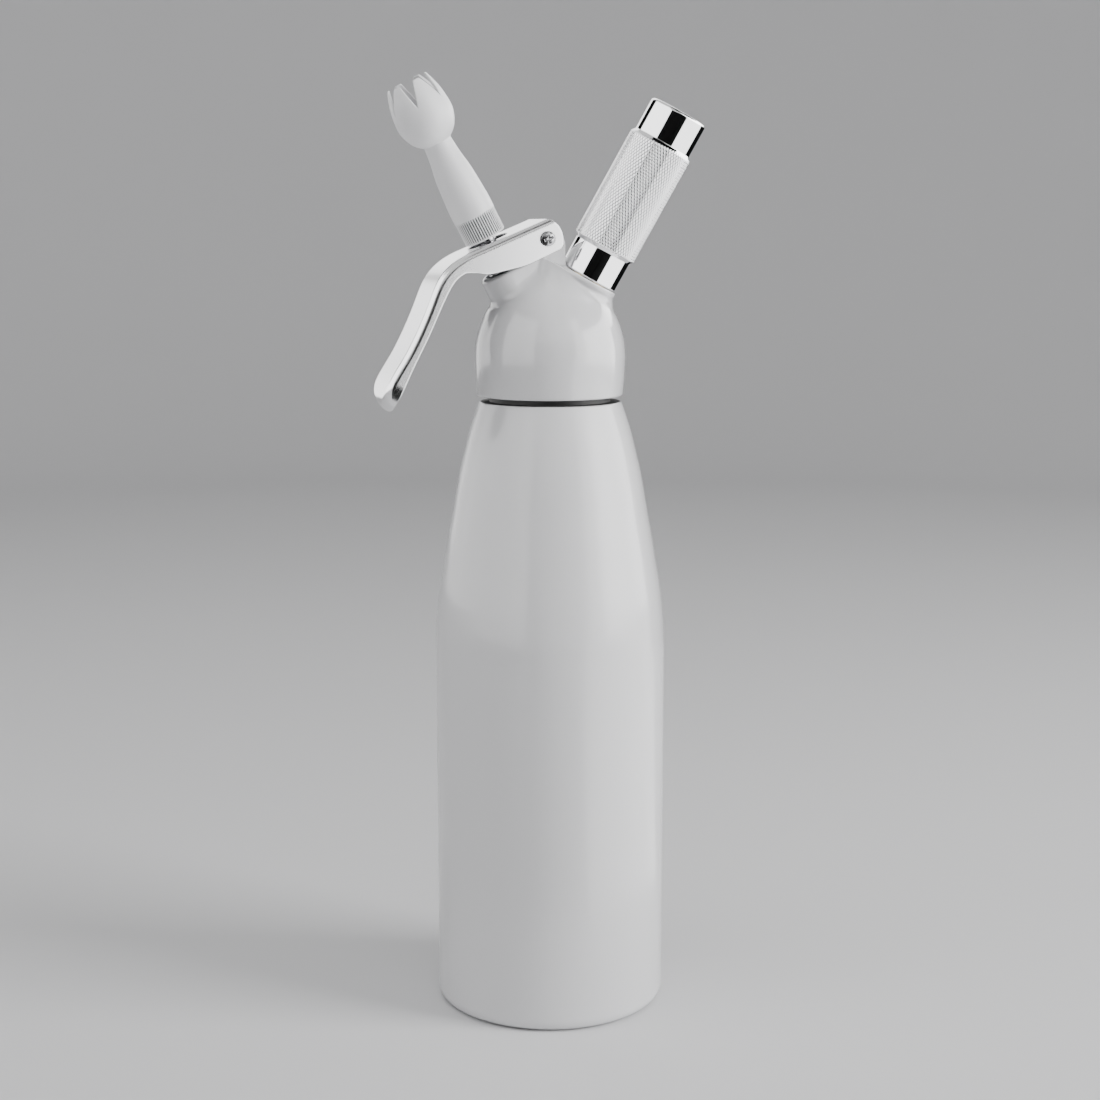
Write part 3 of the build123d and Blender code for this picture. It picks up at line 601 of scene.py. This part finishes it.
def arc3(a, b, c, n=24):
    (ax, ay), (bx, by), (cx, cy) = a, b, c
    d = 2 * (ax * (by - cy) + bx * (cy - ay) + cx * (ay - by))
    ux = ((ax**2 + ay**2) * (by - cy) + (bx**2 + by**2) * (cy - ay) + (cx**2 + cy**2) * (ay - by)) / d
    uy = ((ax**2 + ay**2) * (cx - bx) + (bx**2 + by**2) * (ax - cx) + (cx**2 + cy**2) * (bx - ax)) / d
    r = math.hypot(ax - ux, ay - uy)
    a0, a1 = math.atan2(ay - uy, ax - ux), math.atan2(cy - uy, cx - ux)
    am = math.atan2(by - uy, bx - ux)
    tau = 2 * math.pi
    s = (a1 - a0) % tau
    if (am - a0) % tau > s:
        s -= tau
    t = a0 + s * np.linspace(0, 1, n)
    return np.stack([ux + r * np.cos(t), uy + r * np.sin(t)], 1)


low_line = spline(LOWER, 260, (0.3, 0.9), (0.9, 0.42))
belly = spline([LOWER[-1], (-33.0, 282.95), (-29.0, 282.5), (-22.1, 283.6), (-14.0, 285.5), (-10.2, 286.95)], 140,
               (0.9, 0.0), (0.91, 0.42))
cheek = Outline(np.concatenate([out2[::-1], [np.array(REAR) + 1.6 * nrm[0]], [np.array(REAR) + 0.4 * nrm[0]],
                                arc3((1.4, 295.2), (-0.4, 299.9), REAR)[::-1], arc3((-0.6, 291.2), (0.85, 292.25), (1.4, 293.9))[::-1],
                                belly[::-1], low_line[::-1], [end + (0.8, -1.0)]]), 0.25, 6)
hd = np.array([LEVER_OUTER[7][0] - LEVER_OUTER[5][0], LEVER_OUTER[7][1] - LEVER_OUTER[5][1]])
hd = hd / np.hypot(*hd)


def lever_shape(x, y, z):
    top = lever_top(x, z)
    along = (x - end[0]) * -hd[0] + (z - end[1]) * -hd[1]
    side = np.hypot(np.minimum(along - 10.8, 0), y) - 10.8
    skin = rmax(top, side, 2.4)
    room = rmax(top + 1.2, side + 1.2, 1.2)
    d = np.maximum(skin, -room)
    d = rmax(d, cheek(x, z), 0.45)
    # between the cheeks behind the plate
    gap = np.maximum(-4.6 - x, np.abs(y) - 9.6)
    d = rmax(d, -gap, 0.25)
    bx, bs = spout_local(x, z)
    slot = np.maximum(np.hypot(bx - np.clip(bx, -3.25, 3.25), y) - 4.75, np.abs(bs - 12.0) - 5.0)
    d = rmax(d, -slot, 0.3)
    return rmax(d, -(np.hypot(x - px, z - pz) - 2.6), 0.2)


lever = nets("lever_sheet", lever_shape, (-67.4, -10.9, 232.1), (1.6, 10.9, 302.9), 0.24)
finish_piece(lever, LEVER_METAL, "lever", "lever_metal", "lever")
c = np.empty(len(lever.data.polygons) * 3, np.float32)
lever.data.polygons.foreach_get("center", c)
c = c.reshape(-1, 3).astype(float) / MM
along = (c[:, 0] - end[0]) * -hd[0] + (c[:, 2] - end[1]) * -hd[1]
depth = np.maximum(lever_top(c[:, 0], c[:, 2]), np.hypot(np.minimum(along - 10.8, 0), c[:, 1]) - 10.8)
lever.data.materials.append(BARE)
lever.data.polygons.foreach_set("material_index", (depth < -0.95).astype(np.int32))

# ---------------------------------------------------------------- return spring
def spring_mesh(name, radius, wire, s0, s1, turns, around=12, per_turn=40):
    """Coil of round wire along the spout's axis, with flat ends."""
    m = int(turns * per_turn) + 1
    a = np.linspace(0, turns * 2 * math.pi, m)
    rise = (s1 - s0) / (turns * 2 * math.pi)
    mid = np.stack([radius * np.cos(a), radius * np.sin(a), s0 + rise * a], 1)
    t = np.stack([-radius * np.sin(a), radius * np.cos(a), rise + 0 * a], 1)
    t /= np.linalg.norm(t, axis=1, keepdims=True)
    e1 = np.stack([np.cos(a), np.sin(a), 0 * a], 1)
    e2 = np.cross(t, e1)
    b = np.arange(around) * 2 * math.pi / around
    nr = e1[:, None] * np.cos(b)[None, :, None] + e2[:, None] * np.sin(b)[None, :, None]
    co = mid[:, None] + wire * nr
    basis = np.stack([SPOUT_X, Y_AXIS, SPOUT_N])
    i = np.arange(m - 1)[:, None] * around
    j = np.arange(around)[None]
    k = (j + 1) % around
    q = np.stack([i + j, i + around + j, i + around + k, i + k], -1).reshape(-1, 4)
    cap = np.array([[0, c, c + 1, c + 2] for c in range(1, around - 1, 2)])
    q = np.concatenate([q, cap, cap[:, ::-1] + (m - 1) * around])
    return make_mesh(name, co.reshape(-1, 3) @ basis + SPOUT_O, q)


spring = spring_mesh("spring_coil", 4.75, 0.5, -5.68, 4.68, 4.5)
finish_piece(spring, STEEL, "head", "valve_steel", "return_spring")
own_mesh(spring)

# ---------------------------------------------------------------- pivot screw
def screw_shape(x, y, z):
    """Low pan head with a cross recess, on a short round shank; z runs out of the head."""
    r = np.hypot(x, y)
    head = rmax(rmax(r - 2.72, z - 1.8, 0.45), 0.13 - z, 0.1)
    head = np.maximum(head, np.hypot(r, z + 4.0) - 5.72)
    head = rmax(np.minimum(head, np.maximum(r - 1.5, np.abs(z + 2.0) - 2.2)), -6.4 - z, 0.2)
    depth = 1.8 - 1.35 * np.clip(1.25 - r / 1.9, 0, 1)
    arm = np.minimum(np.maximum(np.abs(x) - 0.5, np.abs(y) - 1.85), np.maximum(np.abs(y) - 0.5, np.abs(x) - 1.85))
    arm = np.minimum(arm, r - 0.85)
    return rmax(head, -np.maximum(arm, depth - z), 0.12)


TURN = math.radians(20.0)
sx = np.array([math.cos(TURN), 0.0, math.sin(TURN)])
sz = np.array([0.0, -1.0, 0.0])
screw = nets("screw_head", screw_shape, (-2.8, -2.8, -5.0), (2.8, 2.8, 1.9), 0.09,
             place=(np.array([px, -HALF, pz]), np.stack([sx, np.cross(sz, sx), sz])))
finish_piece(screw, SCREW, "head", "screw_steel", "pivot_screw")

# ---------------------------------------------------------------- nozzle
cone = spline([(8.05, 12.4), (7.9, 16.0), (7.55, 20.45), (6.92, 26.75), (5.95, 32.45), (5.5, 36.45), (5.34, 38.55)], 90,
              (0, 1), (-0.02, 1))
bulb = spline([(5.34, 38.55), (8.47, 41.45), (9.57, 43.35), (10.3, 45.25), (10.8, 47.35), (10.88, 49.25), (10.57, 52.55),
               (9.94, 56.25), (8.76, 59.95), (8.05, 61.9)], 160, (0.9, 0.6), (-0.42, 1))
bulb_in = spline([(7.05, 62.4), (7.65, 59.95), (8.85, 55.95), (9.5, 52.45), (9.75, 49.25), (9.6, 46.85), (8.9, 44.65),
                  (7.2, 42.05), (4.3, 39.25)], 140, (0.2, -1), (-0.9, -0.6))
throat = spline([(4.3, 39.25), (4.35, 36.45), (5.2, 26.45), (5.6, 17.0), (4.6, 13.0)], 60, (0, -1), (-0.5, -1))
RIBS = 50
prof = rounded([(4.5, 0.0), (7.9, 0.0, 0.35), (7.9, 8.1), (8.05, 8.8), cone, (4.3, 38.6), throat[6:], (3.6, 11.4), (3.6, 10.9),
                (4.5, 10.9)], 5)
prof = resample(prof, 0.25)


def ribs(th, r, z):
    """Grip ribs round the collar: grooves that fade out at their upper ends."""
    w = 0.5 - 0.5 * np.cos(RIBS * th)
    w = 1 - np.clip(w / 0.75, 0, 1)
    depth = 0.75 * smooth(0.3, 1.1, z) * (1 - smooth(8.5, 9.5, z))
    return -depth * w * w * (3 - 2 * w) * (r > 7.0)


collar = lathe("nozzle_collar", prof, 800, SPOUT_O + N0 * SPOUT_N, SPOUT_X, SPOUT_N, ribs, closed=True)
finish_piece(collar, NOZZLE_PLASTIC, "nozzle", "nozzle_plastic", "nozzle")


def face_centres(obj, origin, basis):
    c = np.empty(len(obj.data.polygons) * 3, np.float32)
    obj.data.polygons.foreach_get("center", c)
    return (c.reshape(-1, 3) / MM - origin) @ np.asarray(basis).T


# the bottoms of the grooves get a dark grey: painted shade in the grooves
c = face_centres(collar, SPOUT_O + N0 * SPOUT_N, np.stack([SPOUT_X, Y_AXIS, SPOUT_N]))
rr = np.hypot(c[:, 0], c[:, 1])
painted_shade_faces = (rr > 6.5) & (rr < 7.62) & (c[:, 2] > 0.5) & (c[:, 2] < 9.2)
collar.data.materials.append(GROOVE_SHADE)
collar.data.polygons.foreach_set("material_index", painted_shade_faces.astype(np.int32))

tulip_line = Outline(np.concatenate([bulb, [(7.75, 62.4)], bulb_in, [(4.3, 38.3), (5.3, 38.3)]]), 0.15, 4)
BETA = math.atan(2.42 / 8.8)
CUT0 = math.radians(9.6)


def tulip_shape(x, y, z):
    r = np.hypot(x, y)
    d = tulip_line(r, z)
    a = np.mod(np.arctan2(y, x) - CUT0 + math.pi / 6, math.pi / 3) - math.pi / 6
    t = np.hypot(r * np.sin(a), 0.15)
    cut = t * math.cos(BETA) - (z - 53.04) * math.sin(BETA)
    cut = np.maximum(cut, 3.0 - r)
    return rmax(d, -cut, 0.3)


tulip = nets("nozzle_tulip", tulip_shape, (-11.0, -11.0, 38.2), (11.0, 11.0, 62.9), 0.24,
             place=(SPOUT_O + N0 * SPOUT_N, np.stack([SPOUT_X, Y_AXIS, SPOUT_N])))
finish_piece(tulip, NOZZLE_PLASTIC, "nozzle", "nozzle_plastic")

# ---------------------------------------------------------------- charger holder
K0, K1 = 11.9, 56.6
KN = 63
prof = rounded([(9.95, 0.25), (10.7, 0.25), (11.16, 0.75, 0.3), (11.16, K0, 0.3), (12.37, K0 + 1.5, 0.5), (12.37, K1 - 1.5, 0.5),
                (11.16, K1, 0.3), (11.16, 69.3, 1.2), (0.0, 69.3), (0.0, 67.8), (8.25, 67.8, 0.3), (9.45, 66.6, 0.3), (9.45, 9.4, 0.2),
                (9.95, 8.9, 0.2)], 6)
prof = np.concatenate([resample(prof[prof[:, 1] <= 70], 0.15)])


def knurl(th, r, z):
    """Diamond knurl: two families of grooves that cross."""
    p = 2.17
    a = KN * th / (2 * math.pi)
    t1 = np.abs(np.mod(a + (z - K0) / p, 1.0) - 0.5) * 2
    t2 = np.abs(np.mod(a - (z - K0) / p, 1.0) - 0.5) * 2
    g = np.maximum(t1, t2)
    g = np.clip((g - 0.62) / 0.36, 0, 1)
    env = smooth(K0 + 0.7, K0 + 1.6, z) * (1 - smooth(K1 - 1.6, K1 - 0.7, z))
    return -0.15 * g * env * (r > 11.5)


outer_n = int(np.argmax(prof[:, 0] < 1e-6))
holder = lathe("holder_shell", prof, 1260, HOLD_O, HOLD_X, HOLD_N, knurl, closed=True)
finish_piece(holder, CHROME, "charger_holder", "holder_chrome", "charger_holder")
# the faces down in the knurl's grooves get darker chrome: painted shade in the grooves
c = face_centres(holder, HOLD_O, np.stack([HOLD_X, HOLD_Y, HOLD_N]))
rr = np.hypot(c[:, 0], c[:, 1])
painted_shade_faces = (rr > 11.8) & (rr < 12.29) & (c[:, 2] > K0 + 1.7) & (c[:, 2] < K1 - 1.7)
holder.data.materials.append(KNURL_SHADE)
holder.data.polygons.foreach_set("material_index", painted_shade_faces.astype(np.int32))

# ---------------------------------------------------------------- stage
YAW = math.radians(21.0)
RIGHT = np.array([math.cos(YAW), -math.sin(YAW), 0.0])
BACKD = np.array([-math.sin(YAW), -math.cos(YAW), 0.0])


def at(r, b, u):
    return RIGHT * r + BACKD * b + Z_AXIS * u


def card(name, centre, right, up, w, h, mat):
    c, r, u = np.array(centre), np.array(right), np.array(up)
    co = np.array([c - r * w / 2 - u * h / 2, c + r * w / 2 - u * h / 2, c + r * w / 2 + u * h / 2, c - r * w / 2 + u * h / 2])
    o = make_mesh(name, co / MM, np.array([[0, 1, 2, 3]]))
    o.data.materials.append(mat)
    return o


FLOOR = material("floor_pale", (0.72, 0.72, 0.73), 0.6, scale=4.0, var=0.004, rvar=0.02)
DARK = material("dark_card", (0.01, 0.01, 0.01), 0.9, scale=4.0)
for m in (FLOOR, DARK):
    m.node_tree.nodes["Principled BSDF"].inputs["Specular IOR Level"].default_value = 0.0

# round floor that sweeps up into a backdrop all round the object
line = [(0.002, 0.0), (0.8, 0.0), (1.6, 0.0)] + [(1.6 + math.sin(t), 1.0 - math.cos(t)) for t in np.linspace(0, math.pi / 2, 25)][1:] + \
    [(2.6, 1.7)]
turn = np.radians(np.arange(0, 360, 3))
co = np.array([at(r * math.sin(q), r * math.cos(q), u) for r, u in line for q in turn])
n = len(turn)
i = np.arange(len(line) - 1)[:, None] * n
j = np.arange(n)[None]
q = np.stack([i + j, i + n + j, i + n + (j + 1) % n, i + (j + 1) % n], -1).reshape(-1, 4)
floor = make_mesh("floor", co / MM, q)
floor.data.materials.append(FLOOR)

world = bpy.data.worlds.new("studio")
bpy.context.scene.world = world
world.use_nodes = True
world.node_tree.nodes["Background"].inputs["Color"].default_value = (1, 1, 1, 1)
world.node_tree.nodes["Background"].inputs["Strength"].default_value = 0.22


def glow(name, strength):
    """Plain white emission, for the panels that the gloss surfaces mirror."""
    m = bpy.data.materials.new(name)
    m.use_nodes = True
    nt = m.node_tree
    nt.nodes.clear()
    out = nt.nodes.new("ShaderNodeOutputMaterial")
    em = nt.nodes.new("ShaderNodeEmission")
    em.inputs["Color"].default_value = (1, 1, 1, 1)
    em.inputs["Strength"].default_value = strength
    nt.links.new(em.outputs["Emission"], out.inputs["Surface"])
    return m


def panel(name, a0, a1, u0, u1, radius, mat):
    """Part of an upright cylinder round the object; angles from the camera's side, right is positive."""
    t = np.radians(np.linspace(a0, a1, 25))
    lo = [at(radius * math.sin(q), radius * math.cos(q), u0) for q in t]
    hi = [at(radius * math.sin(q), radius * math.cos(q), u1) for q in t]
    n = len(t)
    q = np.array([[i, i + 1, n + i + 1, n + i] for i in range(n - 1)])
    o = make_mesh(name, np.array(lo + hi) / MM, q)
    o.data.materials.append(mat)
    o.visible_camera = False
    o.visible_diffuse = False
    o.visible_shadow = False
    o.visible_transmission = False
    return o


GLOW_R, GLOW_C, GLOW_H = glow("glow_right", 7.0), glow("glow_cheek", 3.6), glow("glow_left", 3.2)
GLOW_L, GLOW_F, GLOW_T = glow("glow_back", 2.6), glow("glow_floor", 3.0), glow("glow_top", 0.8)
panel("panel_right", 56, 150, -0.02, 1.3, 1.9, GLOW_R)
panel("panel_right_high", 56, 150, 1.3, 2.2, 1.9, DARK)
panel("panel_cheek", 40, 56, -0.02, 2.2, 1.9, GLOW_C)
panel("panel_left", -118, -24, -0.02, 2.2, 1.9, GLOW_H)
panel("panel_left_back", -150, -118, -0.02, 0.8, 1.9, GLOW_L)
panel("panel_left_back_high", -150, -118, 0.8, 2.2, 1.9, DARK)
panel("panel_back", 150, 210, 0.55, 2.2, 1.9, GLOW_L)
panel("panel_front", -24, 40, -0.02, 0.9, 1.9, DARK)
panel("panel_front_high", -24, 40, 0.9, 2.2, 1.9, GLOW_T)


def flat(name, a0, a1, r0, r1, u, mat):
    """Part of a level ring round the object that only the gloss surfaces mirror."""
    t = np.radians(np.linspace(a0, a1, 25))
    rise = 0.05 if u < 1 and r1 > 1.6 else 0.0      # the outer edge stays above the sweep
    lo = [at(r0 * math.sin(q), r0 * math.cos(q), u + (rise if r0 > 1.2 else 0)) for q in t]
    hi = [at(r1 * math.sin(q), r1 * math.cos(q), u + rise) for q in t]
    n = len(t)
    q = np.array([[i, i + 1, n + i + 1, n + i] for i in range(n - 1)])
    o = make_mesh(name, np.array(lo + hi) / MM, q)
    o.data.materials.append(mat)
    o.visible_camera = False
    o.visible_diffuse = False
    o.visible_shadow = False
    o.visible_transmission = False
    return o


flat("card_floor_right", 34, 125, 0.16, 1.4, 0.004, GLOW_F)
flat("card_floor_front", -24, 34, 0.16, 1.9, 0.004, DARK)
flat("card_floor_far_right", 34, 125, 1.4, 1.9, 0.004, GLOW_F)
flat("card_floor_far_left", -120, -82, 1.25, 1.9, 0.004, DARK)
flat("card_ceiling_right", 15, 130, 0.3, 1.9, 2.2, DARK)
flat("card_ceiling_left", 130, 375, 0.3, 1.9, 2.2, GLOW_T)
flat("card_ceiling_middle", 0, 360, 0.0, 0.3, 2.2, GLOW_T)

# small dark card low behind the charger holder, for the dark edge on its chrome
hc = HOLD_O * MM
t = np.radians(np.linspace(114, 178, 17))
lo = [hc + at(0.3 * math.sin(q), 0.3 * math.cos(q), 0.08 - hc[2]) for q in t]
hi = [hc + at(0.3 * math.sin(q), 0.3 * math.cos(q), 0.35 - hc[2]) for q in t]
n = len(t)
o = make_mesh("card_edge", np.array(lo + hi) / MM, np.array([[i, i + 1, n + i + 1, n + i] for i in range(n - 1)]))
o.data.materials.append(DARK)
o.visible_camera = False
o.visible_diffuse = False
o.visible_shadow = False
o.visible_transmission = False


def lamp(name, pos, aim, size, size_y, power):
    l = bpy.data.lights.new(name, "AREA")
    l.shape = "RECTANGLE"
    l.size, l.size_y, l.energy = size, size_y, power
    o = bpy.data.objects.new(name, l)
    bpy.context.scene.collection.objects.link(o)
    d = Vector(aim) - Vector(pos)
    o.location = pos
    o.rotation_euler = d.to_track_quat("-Z", "Y").to_euler()
    o.visible_glossy = False
    return o


AIM = (0, 0, 0.2)
lamp("key_right", at(1.35, 0.45, 0.7), AIM, 0.7, 1.2, 30)
lamp("fill_left", at(-1.2, 0.35, 0.6), AIM, 0.8, 1.2, 3)
lamp("top_soft", at(-0.15, 0.3, 1.7), AIM, 1.3, 1.3, 14)

# ---------------------------------------------------------------- camera
TILT = math.radians(9.37)
cam = bpy.data.cameras.new("camera")
cam.sensor_fit = "HORIZONTAL"
cam.sensor_width = 36.0
cam.lens = 63.35
cam.clip_start = 0.02
cam.clip_end = 50
co = bpy.data.objects.new("camera", cam)
bpy.context.scene.collection.objects.link(co)
co.location = (-0.7335 * math.sin(YAW), -0.7335 * math.cos(YAW), 0.2983)
co.rotation_euler = (math.pi / 2 - TILT, 0, -YAW)
bpy.context.scene.camera = co
